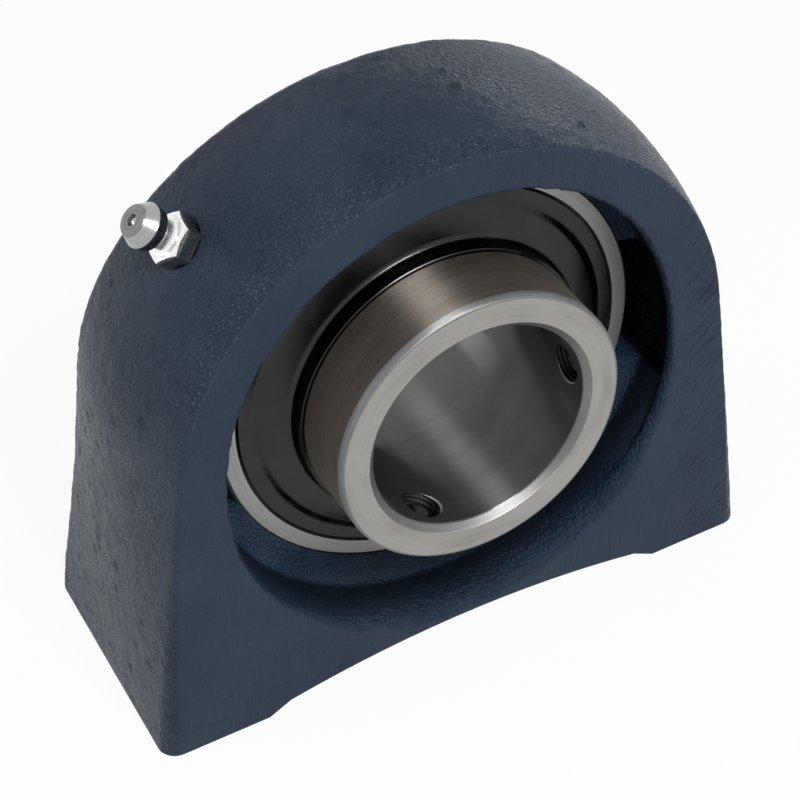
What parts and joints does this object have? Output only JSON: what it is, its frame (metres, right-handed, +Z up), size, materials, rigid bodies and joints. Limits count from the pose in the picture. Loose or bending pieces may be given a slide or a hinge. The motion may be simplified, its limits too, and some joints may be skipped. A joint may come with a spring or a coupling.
{
  "type": "pillow block bearing",
  "caption": "Short-base pillow block: painted cast housing with a self-aligning insert bearing, a wide inner ring with grub screws and a grease nipple.",
  "frame": {"origin": "on the shaft axis at the centre of the spherical seat, in the plane of the balls", "axes": "+Y along the shaft from the front (the long end of the inner ring) to the back, +X to the right seen from the front, +Z up from the base"},
  "size_m": [0.1052, 0.0498, 0.0945],
  "materials": {
    "painted_iron": "dark blue satin paint over grey cast iron",
    "ring_steel": "hardened and ground",
    "inner_ring_steel": "ground face and bore, darker turned outside",
    "flinger_steel": "pressed sheet, dark",
    "seal_washer_steel": "pressed sheet",
    "seal_rubber": "moulded lip",
    "cage_polymer": "moulded",
    "ball_steel": "polished",
    "screw_steel": "blackened",
    "zinc_steel": "bright zinc plate",
    "spring_steel": "drawn wire"
  },
  "bodies": {
    "housing": {"housing": "painted_iron", "grease_nipple_body": "zinc_steel", "nipple_spring": "spring_steel"},
    "check_ball": {"nipple_check_ball": "ball_steel"},
    "outer_ring": {"outer_ring": "ring_steel", "front_seal_washer": "seal_washer_steel", "front_seal_lip": "seal_rubber", "back_seal_washer": "seal_washer_steel", "back_seal_lip": "seal_rubber"},
    "inner_ring": {"inner_ring": "inner_ring_steel", "front_flinger": "flinger_steel", "back_flinger": "flinger_steel"},
    "grub_screw_1": {"grub_screw_1": "screw_steel"},
    "grub_screw_2": {"grub_screw_2": "screw_steel"},
    "cage": {"cage": "cage_polymer"},
    "ball_1": {"ball_1": "ball_steel"},
    "ball_2": {"ball_2": "ball_steel"},
    "ball_3": {"ball_3": "ball_steel"},
    "ball_4": {"ball_4": "ball_steel"},
    "ball_5": {"ball_5": "ball_steel"},
    "ball_6": {"ball_6": "ball_steel"},
    "ball_7": {"ball_7": "ball_steel"},
    "ball_8": {"ball_8": "ball_steel"},
    "ball_9": {"ball_9": "ball_steel"}
  },
  "joints": [
    {"name": "self_align", "type": "hinge", "parent": "housing", "child": "outer_ring", "pos_m": [0, 0, 0], "axis": [1, 0, 0], "range_deg": [-5, 5]},
    {"name": "inner_ring_spin", "type": "hinge", "parent": "outer_ring", "child": "inner_ring", "pos_m": [0, 0, 0], "axis": [0, 1, 0], "continuous": true},
    {"name": "cage_spin", "type": "hinge", "parent": "outer_ring", "child": "cage", "pos_m": [0, 0, 0], "axis": [0, 1, 0], "continuous": true},
    {"name": "check_ball_slide", "type": "slide", "parent": "housing", "child": "check_ball", "axis": [0.7071, 0, -0.7071], "range_m": [0, 0.0008], "stiffness_N_per_m": 200, "springref_m": -0.003, "deforming": ["nipple_spring"]},
    {"name": "grub_screw_1_travel", "type": "slide", "parent": "inner_ring", "child": "grub_screw_1", "axis": [0.9976, 0, 0.0698], "range_m": [-0.0011, 0.001]},
    {"name": "grub_screw_2_travel", "type": "slide", "parent": "inner_ring", "child": "grub_screw_2", "axis": [-0.4384, 0, -0.8988], "range_m": [-0.0011, 0.001]},
    {"name": "ball_1_spin", "type": "hinge", "parent": "cage", "child": "ball_1", "pos_m": [0, 0, 0.02673], "axis": [0, 1, 0], "continuous": true},
    {"name": "ball_2_spin", "type": "hinge", "parent": "cage", "child": "ball_2", "pos_m": [-0.01718, 0, 0.02047], "axis": [0, 1, 0], "continuous": true},
    {"name": "ball_3_spin", "type": "hinge", "parent": "cage", "child": "ball_3", "pos_m": [-0.02632, 0, 0.00464], "axis": [0, 1, 0], "continuous": true},
    {"name": "ball_4_spin", "type": "hinge", "parent": "cage", "child": "ball_4", "pos_m": [-0.02314, 0, -0.01336], "axis": [0, 1, 0], "continuous": true},
    {"name": "ball_5_spin", "type": "hinge", "parent": "cage", "child": "ball_5", "pos_m": [-0.00914, 0, -0.02511], "axis": [0, 1, 0], "continuous": true},
    {"name": "ball_6_spin", "type": "hinge", "parent": "cage", "child": "ball_6", "pos_m": [0.00914, 0, -0.02511], "axis": [0, 1, 0], "continuous": true},
    {"name": "ball_7_spin", "type": "hinge", "parent": "cage", "child": "ball_7", "pos_m": [0.02314, 0, -0.01336], "axis": [0, 1, 0], "continuous": true},
    {"name": "ball_8_spin", "type": "hinge", "parent": "cage", "child": "ball_8", "pos_m": [0.02632, 0, 0.00464], "axis": [0, 1, 0], "continuous": true},
    {"name": "ball_9_spin", "type": "hinge", "parent": "cage", "child": "ball_9", "pos_m": [0.01718, 0, 0.02047], "axis": [0, 1, 0], "continuous": true}
  ],
  "couplings": [
    {"joint": "cage_spin", "follows": "inner_ring_spin", "ratio": 0.39605},
    {"joint": "ball_1_spin", "follows": "inner_ring_spin", "ratio": -2.3011},
    {"joint": "ball_2_spin", "follows": "inner_ring_spin", "ratio": -2.3011},
    {"joint": "ball_3_spin", "follows": "inner_ring_spin", "ratio": -2.3011},
    {"joint": "ball_4_spin", "follows": "inner_ring_spin", "ratio": -2.3011},
    {"joint": "ball_5_spin", "follows": "inner_ring_spin", "ratio": -2.3011},
    {"joint": "ball_6_spin", "follows": "inner_ring_spin", "ratio": -2.3011},
    {"joint": "ball_7_spin", "follows": "inner_ring_spin", "ratio": -2.3011},
    {"joint": "ball_8_spin", "follows": "inner_ring_spin", "ratio": -2.3011},
    {"joint": "ball_9_spin", "follows": "inner_ring_spin", "ratio": -2.3011}
  ]
}
